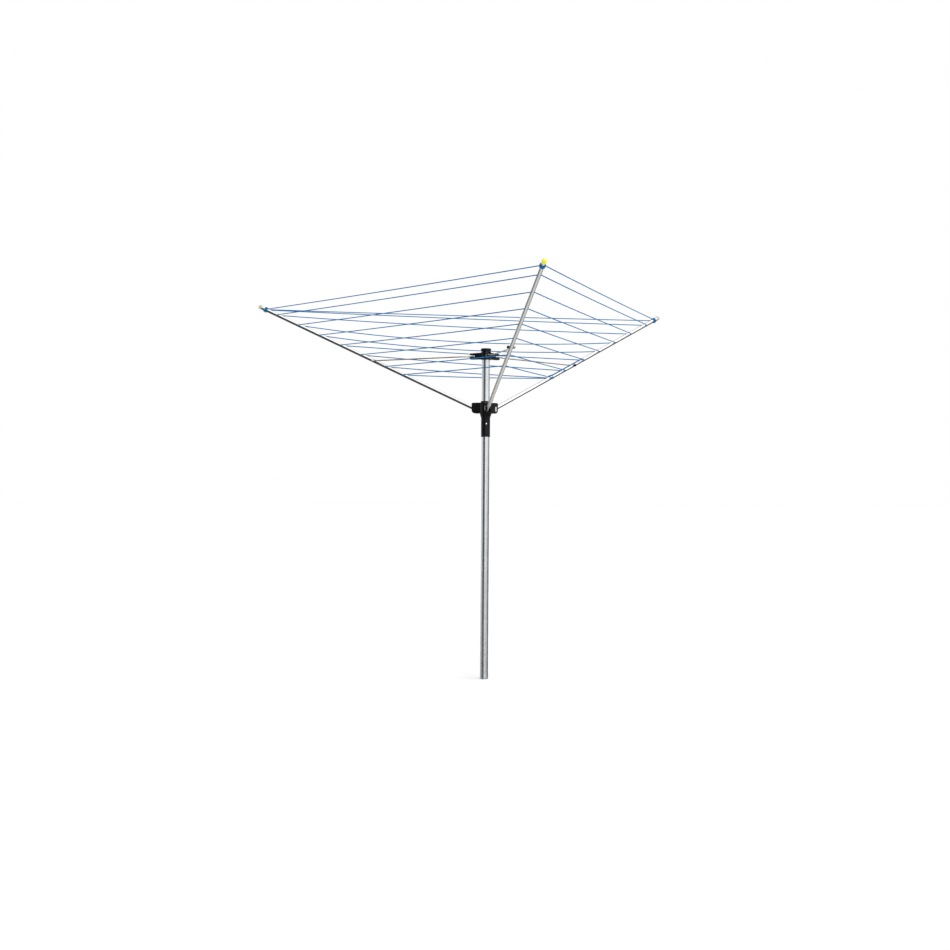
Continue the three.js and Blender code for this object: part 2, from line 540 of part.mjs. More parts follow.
  // Strut: a steel rod, cranked near the hub so that it lies beside the arm, with an eye at each
  // end.
  const rodPath = [
    new THREE.Vector3(2, 0, 0),
    new THREE.Vector3(STRUT_CRANK_START, 0, 0),
    new THREE.Vector3(STRUT_CRANK_START + STRUT_CRANK_LENGTH, STRUT_OFFSET, 0),
    new THREE.Vector3(STRUT_LENGTH - 2, STRUT_OFFSET, 0),
  ];
  const hubEye = alongY(bar(STRUT_EYE_RADIUS, -STRUT_RADIUS, STRUT_RADIUS, 24));
  const armEye = alongY(bar(STRUT_EYE_RADIUS, STRUT_SIDE, STRUT_EYE_OUTER, 24))
    .translate(STRUT_LENGTH, 0, 0);
  const strutRod = solid(mitredTube(rodPath, STRUT_RADIUS, 14))
    .add(solid(hubEye))
    .add(solid(armEye))
    .subtract(solid(alongY(drill(STRUT_PIN_RADIUS + GAP, -20, 20))))
    .subtract(solid(alongY(drill(STUD_RADIUS + GAP, 0, 40)).translate(STRUT_LENGTH, 0, 0)));
  strut.add(piece(`strut_rod_${number}`, surface(strutRod), strutSteel));

  // Strut rivet: the head of the arm pivot, which stays in the strut's eye.
  const headFace = STRUT_OFFSET + STRUT_RADIUS + GAP;
  const strutRivet = alongY(turned([
    [0, STRUT_SIDE + 0.3], [STUD_RADIUS, STRUT_SIDE + 0.3], [STUD_RADIUS, headFace], [5.5, headFace],
    [5.5, headFace + 1.6], [3.5, headFace + 3], [0, headFace + 3],
  ], 20)).translate(STRUT_LENGTH, 0, 0);
  strut.add(piece(`strut_rivet_${number}`, strutRivet, brightSteel));
});

// Clothesline: one line wound inward in a spiral. It starts at the third arm, goes behind the pole
// to the second, then round the first and the third, and moves in one row each time it crosses
// from the third arm to the second. It is wound three times round every arm in the outermost row.
// After the last row it returns to the second arm, passes over it and lies along its top.
function onArm(azimuth, along, side, up) {
  const radius = RUNNER_PIVOT_RADIUS + along * Math.cos(ARM_SLOPE) - up * Math.sin(ARM_SLOPE);
  const height = RUNNER_PIVOT_HEIGHT + along * Math.sin(ARM_SLOPE) + up * Math.cos(ARM_SLOPE);
  return new THREE.Vector3(radius, side, height).applyAxisAngle(new THREE.Vector3(0, 0, 1), azimuth);
}

let line = null;
function join(part) {
  line = line === null ? solid(part) : line.add(solid(part));
}

const [firstArm, secondArm, thirdArm] = AZIMUTHS;
const innerRow = ROW_ALONG.at(-1);
const route = [onArm(thirdArm, ROW_ALONG[0] + LINE_BESIDE, -LINE_SIDE, 0)];
for (const along of ROW_ALONG) {
  for (const azimuth of [secondArm, firstArm, thirdArm]) {
    route.push(onArm(azimuth, along, LINE_SIDE, 0), onArm(azimuth, along, -LINE_SIDE, 0));
  }
}
const tail = [
  [innerRow - LINE_BESIDE, 0], [innerRow - LINE_BESIDE, 40], [innerRow - LINE_BESIDE + 3, 80],
  [innerRow + 10, 120], [ROW_ALONG[TAIL_END_ROW] - 14, 120], [ROW_ALONG[TAIL_END_ROW] - 6, 150],
];
for (const [along, degrees] of tail) {
  const turn = THREE.MathUtils.degToRad(degrees);
  route.push(onArm(secondArm, along, LINE_SIDE * Math.cos(turn), LINE_SIDE * Math.sin(turn)));
}
join(mitredTube(route, LINE_RADIUS, 8));
for (const azimuth of AZIMUTHS) {
  for (let turn = 0; turn < HITCH_TURNS; turn += 1) {
    const along = ROW_ALONG[0] + (turn - (HITCH_TURNS - 1) / 2) * LINE_RADIUS * 1.5;
    const loop = alongX(new THREE.TorusGeometry(LINE_SIDE, LINE_RADIUS, 6, 14)).rotateY(-ARM_SLOPE);
    const centre = onArm(0, along, 0, 0);
    join(loop.translate(centre.x, centre.y, centre.z).rotateZ(azimuth));
  }
}
const endKnot = onArm(AZIMUTHS[1], ROW_ALONG.at(-1), -ARM_RADIUS - 0.5 - KNOT_RADIUS, 0);
join(new THREE.SphereGeometry(KNOT_RADIUS, 10, 8).translate(endKnot.x, endKnot.y, endKnot.z));
clothesline.add(piece("clothesline", surface(line), blueLine));

export default clothesline;
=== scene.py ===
import json

import bmesh
import bpy
import numpy as np
from mathutils import Matrix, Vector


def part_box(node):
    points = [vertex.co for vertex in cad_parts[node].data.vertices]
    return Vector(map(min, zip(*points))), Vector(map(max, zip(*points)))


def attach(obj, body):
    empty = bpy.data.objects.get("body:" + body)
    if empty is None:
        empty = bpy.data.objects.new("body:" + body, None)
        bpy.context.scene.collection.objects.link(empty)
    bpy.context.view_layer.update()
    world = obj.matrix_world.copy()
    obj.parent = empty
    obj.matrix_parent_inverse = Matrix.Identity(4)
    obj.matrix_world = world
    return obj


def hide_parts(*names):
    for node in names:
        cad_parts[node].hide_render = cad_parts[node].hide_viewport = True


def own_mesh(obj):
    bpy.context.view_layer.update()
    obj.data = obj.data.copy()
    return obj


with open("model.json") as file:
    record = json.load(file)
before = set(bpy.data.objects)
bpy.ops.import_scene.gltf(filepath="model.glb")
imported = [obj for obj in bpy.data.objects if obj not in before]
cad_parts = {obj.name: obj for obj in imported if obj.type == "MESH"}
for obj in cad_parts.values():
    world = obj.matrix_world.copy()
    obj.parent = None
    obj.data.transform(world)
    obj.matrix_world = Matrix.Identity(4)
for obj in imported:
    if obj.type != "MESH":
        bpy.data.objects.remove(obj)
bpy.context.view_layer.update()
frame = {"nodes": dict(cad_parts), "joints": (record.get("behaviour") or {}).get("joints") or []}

scene = bpy.context.scene


# Camera: just under a metre above the ground, seven metres in front and a little to the left,
# looking almost level past the pole.
eye = np.array([-1.337, -6.893, 0.917])
heading, tilt, lean = np.radians([10.58, 0.42, 0.36])
forward = np.array([np.sin(heading) * np.cos(tilt), np.cos(heading) * np.cos(tilt), np.sin(tilt)])
level = np.array([np.cos(heading), -np.sin(heading), 0.0])
rightward = np.cos(lean) * level + np.sin(lean) * np.cross(level, forward)
camera_data = bpy.data.cameras.new("camera")
camera_data.sensor_width = 36.0
camera_data.lens = 55.93
camera = bpy.data.objects.new("camera", camera_data)
placing = np.eye(4)
placing[:3, :3] = np.stack([rightward, np.cross(rightward, forward), -forward], axis=1)
placing[:3, 3] = eye
camera.matrix_world = Matrix(placing.tolist())
scene.collection.objects.link(camera)
scene.camera = camera


# Studio: a plain white floor under a white surround, one broad overhead light, a bright screen to
# the front right, and dark ones to the front left, low at both sides, on the floor in front and
# high up behind. They give round metal its light and dark stripes and its dark edges.
class Wire:
    """A shader value on its way from node to node; arithmetic on it adds Math nodes."""

    def __init__(self, tree, socket):
        self.tree, self.socket = tree, socket

    def node(self, kind, settings, sockets, output=0):
        """Adds a node, applies its settings, then gives its sockets their values or links."""
        made = self.tree.nodes.new(kind)
        for name, value in settings.items():
            setattr(made, name, value)
        for name, value in sockets.items():
            if isinstance(value, Wire):
                self.tree.links.new(value.socket, made.inputs[name])
            else:
                made.inputs[name].default_value = value
        return Wire(self.tree, made.outputs[output] if made.outputs else None)

    def maths(self, operation, *values):
        return self.node("ShaderNodeMath", {"operation": operation}, dict(enumerate(values)))

    def __add__(self, other):
        return self.maths("ADD", self, other)

    def __sub__(self, other):
        return self.maths("SUBTRACT", self, other)

    def __rsub__(self, other):
        return self.maths("SUBTRACT", other, self)

    def __mul__(self, other):
        return self.maths("MULTIPLY", self, other)

    def __truediv__(self, other):
        return self.maths("DIVIDE", self, other)

    __radd__ = __add__
    __rmul__ = __mul__

    def rise(self, low, high):
        """0 below low, 1 above high and a smooth S between them."""
        return self.node("ShaderNodeMapRange", {"interpolation_type": "SMOOTHSTEP"},
                         {"Value": self, "From Min": low, "From Max": high})

    def blend(self, first, second):
        """The first colour where this wire is 0, the second where it is 1."""
        return self.node("ShaderNodeMix", {"data_type": "RGBA"}, {0: self, 6: first, 7: second}, 2)


world = bpy.data.worlds.new("studio")
scene.world = world
world.use_nodes = True
world.node_tree.nodes.clear()
sight = Wire(world.node_tree, None)
direction = sight.node("ShaderNodeTexCoord", {}, {})
across, deep, high = (sight.node("ShaderNodeSeparateXYZ", {}, {"Vector": direction}, i) for i in range(3))
flat = sight.maths("SQRT", across * across + deep * deep + 0.001)
to_eye = -forward[:2] / np.linalg.norm(forward[:2])


def toward(degrees):
    """How nearly a direction faces the eye's side of the studio, turned to the right by degrees."""
    turn = np.radians(degrees)
    x = to_eye[0] * np.cos(turn) + level[0] * np.sin(turn)
    y = to_eye[1] * np.cos(turn) + level[1] * np.sin(turn)
    return (across * float(x) + deep * float(y)) / flat


surround = 0.80 + high.rise(-0.55, 0.25) * 0.14 + high.rise(0.2, 0.9) * 0.16
beyond = 0 - toward(0) * flat
rightish = toward(90) * flat
dark_floor = (1 - high.rise(-0.60, -0.22)) * (1 - beyond.rise(0.05, 0.45))
dark_right = rightish.rise(0.20, 0.38) * (1 - high.rise(-0.04, 0.14)) * high.rise(-0.62, -0.45)
dark_left = (1 - rightish.rise(-0.62, -0.45)) * (1 - high.rise(-0.22, -0.05))
dark_above = beyond.rise(0.22, 0.50) * high.rise(0.26, 0.40) * (1 - high.rise(0.90, 0.98))
dark_screen = toward(-40).rise(0.80, 0.93) * (1 - high.rise(0.35, 0.75)) * high.rise(-0.6, -0.2)
bright_screen = toward(42).rise(0.70, 0.86) * high.rise(-0.35, 0.0) * (1 - high.rise(0.6, 0.9))
shaded = (1 - dark_floor * 0.88) * (1 - dark_right * 0.90) * (1 - dark_left * 0.86)
shaded = shaded * (1 - dark_above * 0.90) * (1 - dark_screen * 0.88)
brightness = surround * shaded + bright_screen * 0.7
seen = sight.node("ShaderNodeLightPath", {}, {})
backdrop = seen * 1.0 + (1 - seen) * brightness
lit = sight.node("ShaderNodeBackground", {}, {"Color": (1, 1, 1, 1), "Strength": backdrop})
sight.node("ShaderNodeOutputWorld", {}, {"Surface": lit})

sun_data = bpy.data.lights.new("overhead", "SUN")
sun_data.energy = 1.15
sun_data.angle = np.radians(100)
sun = bpy.data.objects.new("overhead", sun_data)
sun.rotation_euler = np.radians([14, 22, 0])
scene.collection.objects.link(sun)

floor_half = 60.0
floor_mesh = bpy.data.meshes.new("floor")
floor_corners = [(x * floor_half, y * floor_half, 0) for x, y in [(-1, -1), (1, -1), (1, 1), (-1, 1)]]
floor_mesh.from_pydata(floor_corners, [], [(0, 1, 2, 3)])
floor = bpy.data.objects.new("floor", floor_mesh)
scene.collection.objects.link(floor)
floor.visible_glossy = False
scene.view_settings.view_transform = "Standard"


def finish(name):
    """A new empty material and the wire of object coordinates that its patterns start from."""
    material = bpy.data.materials.new(name)
    material.use_nodes = True
    material.node_tree.nodes.clear()
    start = Wire(material.node_tree, None)
    return material, start.node("ShaderNodeTexCoord", {}, {}, 3)


def coat(place, **sockets):
    """Ends a material in one Principled shader whose sockets are spelt with underscores."""
    named = {name.replace("_", " "): value for name, value in sockets.items()}
    shader = place.node("ShaderNodeBsdfPrincipled", {}, named)
    place.node("ShaderNodeOutputMaterial", {}, {"Surface": shader})


def grain(place, scale, detail=3.0, roughness=0.5, output=0):
    """Fractal noise at so many lumps to the metre."""
    return place.node("ShaderNodeTexNoise", {},
                      {"Vector": place, "Scale": scale, "Detail": detail, "Roughness": roughness}, output)


def bump(place, height, strength, distance):
    """A surface normal from a height, at a depth in metres."""
    return place.node("ShaderNodeBump", {}, {"Height": height, "Strength": strength, "Distance": distance})


white_floor, floor_place = finish("white_floor")
mottle = grain(floor_place, 3.0)
coat(floor_place, Base_Color=mottle.blend((0.90, 0.90, 0.90, 1), (0.93, 0.93, 0.93, 1)), Roughness=0.8)
floor_mesh.materials.append(white_floor)


# Pole: a round steel tube, zinc-coated and drawn, 38 mm across, drilled once for the lock button.
# It turns on the foot and carries both hubs.
pole_radius = 0.019
pole_wall = 0.0015
pole_low, pole_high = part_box("pole_tube")[0][2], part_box("pole_tube")[1][2]
button_height = sum(corner[2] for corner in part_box("lock_button")) / 2
button_hole = 0.005
upright = np.array([0.0, 0.0, 1.0])
frontward = np.array([0.0, -1.0, 0.0])


def skin(name, grids, material, kept=None):
    """A piece whose surface runs through one or more grids of points.

    Each row of a grid is a closed ring, and neighbouring rings are joined by quads, so a grid that
    starts and ends in a point, or in the same ring, is closed. The UV map gives metres along the
    rows and the share of a turn round each ring. kept marks the quads that stay.
    """
    points, faces, marks, count = [], [], [], 0
    for grid in grids:
        rows, columns = grid.shape[:2]
        index = count + np.arange(rows * columns).reshape(rows, columns)
        ahead = np.roll(index, -1, axis=1)
        quads = np.stack([index[:-1], ahead[:-1], ahead[1:], index[1:]], axis=-1)
        steps = np.linalg.norm(np.diff(grid.mean(axis=1), axis=0), axis=-1)
        run = np.concatenate([[0.0], np.cumsum(steps)])
        turn = np.arange(columns + 1) / columns
        run, turn = np.meshgrid(run, turn, indexing="ij")
        map_at = np.stack([run, turn], axis=-1)
        corners = [map_at[:-1, :-1], map_at[:-1, 1:], map_at[1:, 1:], map_at[1:, :-1]]
        keep = np.ones(quads.shape[:2], bool) if kept is None else kept
        points.append(grid.reshape(-1, 3))
        faces.append(quads[keep])
        marks.append(np.stack(corners, axis=2)[keep])
        count += rows * columns
    mesh = bpy.data.meshes.new(name)
    mesh.from_pydata(np.concatenate(points).tolist(), [], np.concatenate(faces).tolist())
    layer = mesh.uv_layers.new(name="run")
    layer.data.foreach_set("uv", np.concatenate(marks).astype(np.float32).ravel())
    work = bmesh.new()
    work.from_mesh(mesh)
    bmesh.ops.remove_doubles(work, verts=work.verts, dist=2e-6)
    loose = [vertex for vertex in work.verts if not vertex.link_faces]
    bmesh.ops.delete(work, geom=loose, context="VERTS")
    bmesh.ops.recalc_face_normals(work, faces=work.faces)
    work.to_mesh(mesh)
    work.free()
    mesh.shade_smooth()
    mesh.materials.append(material)
    piece = bpy.data.objects.new(name, mesh)
    scene.collection.objects.link(piece)
    return piece


def drilled_tube(name, start, end, side, radius, wall, holes, material, dimple):
    """A tube with round holes through its wall, from a grid of lengths and angles.

    holes lists (distance from start, angle from side, hole radius). In a square window round each
    hole a point at the square distance c from the middle moves to a mix of the hole's circle, at
    c = 1/2, and its own place, at c = 1. What lies inside the circle is left out, and the wall
    dips by dimple towards the edge of the hole, as drilling and deburring leave it.
    """
    columns, half_cells = 48, 6
    window = radius * 2 * np.pi / columns * half_cells
    length = np.linalg.norm(end - start)
    centres = np.unique([hole[0] for hole in holes])
    near = centres[:, None] + window * np.linspace(-1, 1, 2 * half_cells + 1)
    lengths = np.unique(np.round(np.concatenate([near.ravel(), np.linspace(0, length, 9)]), 7))
    inside = (np.abs(lengths[:, None] - centres) < window - 1e-6).any(axis=1)
    on_line = (np.abs(lengths[:, None] - near.ravel()) < 2e-7).any(axis=1)
    lengths = lengths[~inside | on_line]
    run, angle = np.meshgrid(lengths, np.arange(columns) * 2 * np.pi / columns, indexing="ij")
    place_run, place_angle, depth = run.copy(), angle.copy(), np.zeros_like(run)
    hollow = np.zeros(run.shape, bool)
    for centre, facing, hole in holes:
        a = (run - centre) / window
        b = ((angle - facing + np.pi) % (2 * np.pi) - np.pi) * radius / window
        square, round_off = np.maximum(abs(a), abs(b)), np.hypot(a, b)
        zone = square < 1 + 1e-6
        share = np.clip(2 * square - 1, 0, 1)
        scale = np.where(zone, (1 - share) * hole / np.maximum(round_off, 1e-9)
                         + share * window / np.maximum(square, 1e-9), window)
        place_run = np.where(zone, centre + scale * a, place_run)
        place_angle = np.where(zone, facing + scale * b / radius, place_angle)
        off = np.maximum(scale * round_off - hole, 0)
        depth = np.where(zone, dimple * np.exp(-(off / (0.5 * hole)) ** 2), depth)
        hollow |= square < 0.5 + 1e-6
    axis = (end - start) / length
    reach = (radius - depth)[..., None]
    spoke = np.cos(place_angle)[..., None] * side + np.sin(place_angle)[..., None] * np.cross(axis, side)
    grid = start + place_run[..., None] * axis + reach * spoke
    ahead = np.roll(hollow, -1, axis=1)
    kept = ~(hollow[:-1] & ahead[:-1] & ahead[1:] & hollow[1:])
    tube = skin(name, [grid], material, kept)
    shell = tube.modifiers.new("wall", "SOLIDIFY")
    shell.thickness = wall
    shell.offset = -1.0
    edges = tube.modifiers.new("edges", "BEVEL")
    edges.limit_method = "ANGLE"
    edges.angle_limit = np.radians(50)
    edges.width = wall * 0.2
    edges.segments = 2
    edges.harden_normals = True
    return tube


zinc, place = finish("zinc_coat")
spangle = place.node("ShaderNodeTexVoronoi", {"feature": "F1"}, {"Vector": place, "Scale": 140.0}, 1)
flake = place.node("ShaderNodeSeparateXYZ", {}, {"Vector": spangle})
drawn = place.node("ShaderNodeMapping", {}, {"Vector": place, "Scale": (1.0, 1.0, 0.012)})
streak = grain(drawn, 900.0, 2.0)
height = place.node("ShaderNodeSeparateXYZ", {}, {"Vector": place}, 2)
low_end = 1 - height.rise(0.05, 0.75)
cloud = grain(place, 22.0, 4.0, 0.6)
rubbed = height.rise(0.42, 0.50) * (1 - height.rise(1.14, 1.16)) * streak.rise(0.52, 0.66)
tone = 0.5 + (flake - 0.5) * (0.12 + low_end * 0.5) + (cloud - 0.5) * 0.5 + rubbed * 0.15
coat(place, Base_Color=tone.blend((0.50, 0.52, 0.53, 1), (0.80, 0.82, 0.84, 1)), Metallic=1.0,
     Roughness=0.20 + cloud * 0.10 + low_end * 0.10 - rubbed * 0.08,
     Normal=bump(place, streak * 0.6 + flake * low_end * 0.4, 0.25, 0.0002))
pole = drilled_tube(
    "pole_skin", pole_low * upright, pole_high * upright, frontward, pole_radius, pole_wall,
    [(button_height - pole_low, 0.0, button_hole)], zinc, 0.0)
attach(pole, "mast")
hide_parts("pole_tube")


# Foot: a moulded plug that stands in the ground socket, and the bush pressed in the pole that
# turns on its spigot. Only the plug's lower face shows, inside the pole's end.
def soften(node, material, cut, segments=2):
    """Merges a CAD part's loose triangles, shades its curves smooth and rounds its sharp edges."""
    piece = frame["nodes"][node]
    if "weld_and_smooth" not in bpy.data.node_groups:
        group = bpy.data.node_groups.new("weld_and_smooth", "GeometryNodeTree")
        for way in ("INPUT", "OUTPUT"):
            group.interface.new_socket("Geometry", in_out=way, socket_type="NodeSocketGeometry")
        enter, leave = group.nodes.new("NodeGroupInput"), group.nodes.new("NodeGroupOutput")
        weld = group.nodes.new("GeometryNodeMergeByDistance")
        weld.inputs["Distance"].default_value = 1e-5
        smooth = group.nodes.new("GeometryNodeSetShadeSmooth")
        group.links.new(enter.outputs[0], weld.inputs["Geometry"])
        group.links.new(weld.outputs["Geometry"], smooth.inputs["Geometry"])
        group.links.new(smooth.outputs["Geometry"], leave.inputs[0])
    piece.modifiers.new("weld", "NODES").node_group = bpy.data.node_groups["weld_and_smooth"]
    edges = piece.modifiers.new("edges", "BEVEL")
    edges.limit_method = "ANGLE"
    edges.angle_limit = np.radians(32)
    edges.width = cut
    edges.segments = segments
    even = piece.modifiers.new("even", "WEIGHTED_NORMAL")
    even.keep_sharp = False
    piece.data.materials.clear()
    piece.data.materials.append(material)
    return piece


grey_moulding, place = finish("grey_moulding")
speck = grain(place, 900.0, 2.0)
scuff = grain(place, 60.0, 5.0, 0.7).rise(0.55, 0.75)
coat(place, Base_Color=scuff.blend((0.42, 0.43, 0.42, 1), (0.30, 0.29, 0.27, 1)),
     Roughness=0.45 + scuff * 0.2, Normal=bump(place, speck, 0.3, 0.0001))
soften("foot_plug", grey_moulding, 0.0008)

black_moulding, place = finish("black_moulding")
speck = grain(place, 1400.0, 3.0, 0.6)
flow = grain(place, 35.0, 4.0, 0.55)
drawn_out = place.node("ShaderNodeMapping", {},
                       {"Vector": place, "Rotation": (0.5, 0.3, 0.9), "Scale": (1, 14, 1)})
scratch = grain(drawn_out, 160.0, 4.0)
scuff = scratch.rise(0.62, 0.74) * flow.rise(0.45, 0.65)
dust = grain(place, 140.0, 5.0, 0.7).rise(0.5, 0.8)
grey_share = scuff * 0.5 + dust * 0.25
coat(place, Base_Color=grey_share.blend((0.004, 0.0045, 0.006, 1), (0.030, 0.031, 0.034, 1)),
     Roughness=0.24 + flow * 0.14 + dust * 0.10 + scuff * 0.12, Specular_IOR_Level=0.2,
     Normal=bump(place, speck * 0.7 + flow * 0.8, 0.35, 0.00015))
soften("foot_bush", black_moulding, 0.0006)


# Lock button: a domed, plated steel stud on a strip spring inside the pole. It stands in the
# runner's round window and is pressed to let the runner down.
def eased(corners, cut, steps=4):
    """A line through corners, each rounded off: it leaves the corner c at a, a cut before it, and
    meets the next side at b, a cut after it, along (1-t)^2 a + 2t(1-t) c + t^2 b.
    """
    corners = np.asarray(corners, float)
    middle, back, fore = corners[1:-1], corners[:-2] - corners[1:-1], corners[2:] - corners[1:-1]
    back_length = np.linalg.norm(back, axis=1, keepdims=True)
    fore_length = np.linalg.norm(fore, axis=1, keepdims=True)
    start = middle + back / back_length * np.minimum(cut, back_length * 0.45)
    end = middle + fore / fore_length * np.minimum(cut, fore_length * 0.45)
    t = np.linspace(0, 1, steps + 1)[:, None, None]
    arcs = (1 - t) ** 2 * start + 2 * t * (1 - t) * middle + t ** 2 * end
    rounded = arcs.transpose(1, 0, 2).reshape(-1, corners.shape[1])
    return np.concatenate([corners[:1], rounded, corners[-1:]])


def turned(profile, origin, axis, side, columns=48, lobes=0, lobe_depth=0.0, lobed=None):
    """Rings of a turned part: each (reach, radius) of the profile is carried round the axis.

    With lobes, the radius at an angle is 1 + lobe_depth cos(lobes x angle) times its own, on the
    profile points that lobed marks.
    """
    profile = np.asarray(profile, float)
    angle = np.arange(columns) * 2 * np.pi / columns
    swell = np.ones((len(profile), columns))
    if lobes:
        swell += lobe_depth * np.cos(lobes * angle) * np.asarray(lobed, float)[:, None]
    spoke = np.cos(angle)[:, None] * side + np.sin(angle)[:, None] * np.cross(axis, side)
    return origin + profile[:, :1, None] * axis + (profile[:, 1:] * swell)[..., None] * spoke


bright_plate, place = finish("bright_plate")
wipe = grain(place, 260.0, 4.0, 0.6)
haze = grain(place, 45.0, 3.0)
coat(place, Base_Color=haze.blend((0.74, 0.75, 0.76, 1), (0.88, 0.88, 0.87, 1)), Metallic=1.0,
     Roughness=0.14 + wipe * 0.12, Normal=bump(place, wipe, 0.2, 0.0001))
button_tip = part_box("lock_button")[0][1]
button_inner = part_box("lock_button")[1][1]
button_radius = 0.0047
button_flange = 0.0059
flange_depth = 0.0018
button_length = button_inner - button_tip
flange_start = button_length - flange_depth
button_profile = eased([
    (0, 0), (0.0003, button_radius * 0.62), (0.0016, button_radius), (flange_start, button_radius),
    (flange_start, button_flange), (button_length, button_flange), (button_length, 0)], 0.0008)
button_centre = np.array([0.0, button_tip, button_height])
rearward = -frontward
sideward = np.array([1.0, 0.0, 0.0])
button_rings = turned(button_profile, button_centre, rearward, sideward)
button = skin("lock_button_skin", [button_rings], bright_plate)
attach(button, "lock_button")
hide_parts("lock_button")
soften("button_spring", bright_plate, 0.0002, 1)


# Top hub: a black moulded barrel on the pole's end with three forks for the struts. A flanged cap
# closes the pole, and one screw behind holds the barrel.
soften("top_hub", black_moulding, 0.0009, 3)
cap_low, cap_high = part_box("top_cap")
cap_radius = cap_high[0]
cap_top = cap_high[2]
flange_height = 0.010
cap_seat = cap_top - flange_height
skirt_radius = 0.0172
dish_floor = cap_top - 0.003
pip_radius = 0.006
pip_top = cap_top - 0.0022
cap_profile = eased([
    (cap_low[2], 0), (cap_low[2], skirt_radius - 0.001), (cap_low[2] + 0.0015, skirt_radius),
    (cap_seat, skirt_radius), (cap_seat, cap_radius - 0.001), (cap_seat + 0.002, cap_radius),
    (cap_top - 0.0025, cap_radius), (cap_top, cap_radius - 0.002), (cap_top, cap_radius - 0.0045),
    (dish_floor, cap_radius - 0.007), (dish_floor, pip_radius), (pip_top, pip_radius - 0.001),
    (pip_top, 0)], 0.0007)
top_cap_rings = turned(cap_profile, 0 * upright, upright, sideward, 72)
top_cap = skin("top_cap_skin", [top_cap_rings], black_moulding)
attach(top_cap, "mast")
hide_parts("top_cap")

screw_low, screw_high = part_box("hub_screw")
screw_height = (screw_low[2] + screw_high[2]) / 2
screw_shank = 0.0017
screw_head_radius = 0.004
screw_head_height = 0.0025
screw_head = screw_high[1] - screw_head_height
screw_crown = screw_head + screw_head_height
screw_tip = screw_low[1]
socket_floor = screw_head + 0.0009
socket_radius = 0.0015
socket_sides = 6
socket_swell = 0.12
screw_profile = eased([
    (screw_tip, 0), (screw_tip + 0.0015, screw_shank), (screw_head, screw_shank),
    (screw_head, screw_head_radius), (screw_head + 0.0013, screw_head_radius), (screw_crown, 0.0024),
    (screw_crown, socket_radius + 0.0001), (socket_floor, socket_radius), (socket_floor, 0)], 0.0004)
socket_part = (screw_profile[:, 0] > screw_head) & (screw_profile[:, 1] < screw_shank)
screw_centre = np.array([0, 0, screw_height])
screw_rings = turned(screw_profile, screw_centre, rearward, sideward, 48,
                     socket_sides, socket_swell, socket_part)
screw = skin("hub_screw_skin", [screw_rings], bright_plate)
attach(screw, "mast")
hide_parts("hub_screw")


# Runner: a black moulded barrel with three forks for the arms, a taper and a long sleeve. It
# slides on the pole.
soften("runner_hub", black_moulding, 0.0011, 3)


# Pins: one through each fork. The runner's are bright steel pins with a long flat head, which stops
# them turning; the top hub's are rivets with a dome at each end.
class Station:
    """One arm's pivot and directions: along the arm, to the strut's side of it, and up from it."""

    def __init__(self, number):
        joints = {joint["name"]: joint for joint in frame["joints"]}
        slope = np.radians(24.6)
        self.number = number
        self.pivot = np.array(joints[f"arm_{number}_fold"]["pos_m"])
        self.hub_pivot = np.array(joints[f"strut_{number}_fold"]["pos_m"])
        self.out = self.pivot * (1, 1, 0) / np.linalg.norm(self.pivot[:2])
        self.side = np.cross(upright, self.out)
        self.along = np.cos(slope) * self.out + np.sin(slope) * upright
        self.up = np.cross(self.along, self.side)

    def at(self, along, side=0.0, up=0.0):
        """Points so far along the arm, to its side and above its axis."""
        along, side, up = np.broadcast_arrays(*(np.asarray(v, float)[..., None] for v in (along, side, up)))
        return self.pivot + along * self.along + side * self.side + up * self.up


def riveted(half_length, shank, head, head_height):
    """The profile of a pin with a domed head at each end, from its middle's axis and back."""
    end = half_length + head_height
    return eased([
        (-end, 0), (-end, head * 0.45), (-end + head_height * 0.5, head * 0.88), (-half_length, head),
        (-half_length, shank), (half_length, shank), (half_length, head),
        (end - head_height * 0.5, head * 0.88), (end, head * 0.45), (end, 0)], 0.0005)


stations = [Station(number) for number in (1, 2, 3)]
fork_half_width = 0.0099
strut_pin_shank = 0.0027
strut_pin_head = 0.0046
strut_pin_dome = 0.0018
strut_pin_profile = riveted(fork_half_width, strut_pin_shank, strut_pin_head, strut_pin_dome)
for station in stations:
    number = station.number
    soften(f"arm_pin_{number}", bright_plate, 0.0005, 3)
    strut_pin_rings = turned(strut_pin_profile, station.hub_pivot, station.side, upright, 40)
    strut_pin = skin(f"strut_pin_skin_{number}", [strut_pin_rings], bright_plate)
    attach(strut_pin, "mast")
    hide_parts(f"strut_pin_{number}")


# Arms: three drawn aluminium tubes, 18 mm across, drilled right through for the eight rows of
# line. A moulded plug fills the lower end round its pin.
arm_length = 1.252
arm_tail = 0.008
arm_radius = 0.009
arm_wall = 0.0012
row_from_tip = np.array([0.022, 0.092, 0.222, 0.352, 0.477, 0.597, 0.742, 0.842])
row_along = arm_length - row_from_tip
line_hole = 0.0032
hole_dimple = 0.0005
strut_along = 0.58
stud_radius = 0.003
pin_play = 0.0003

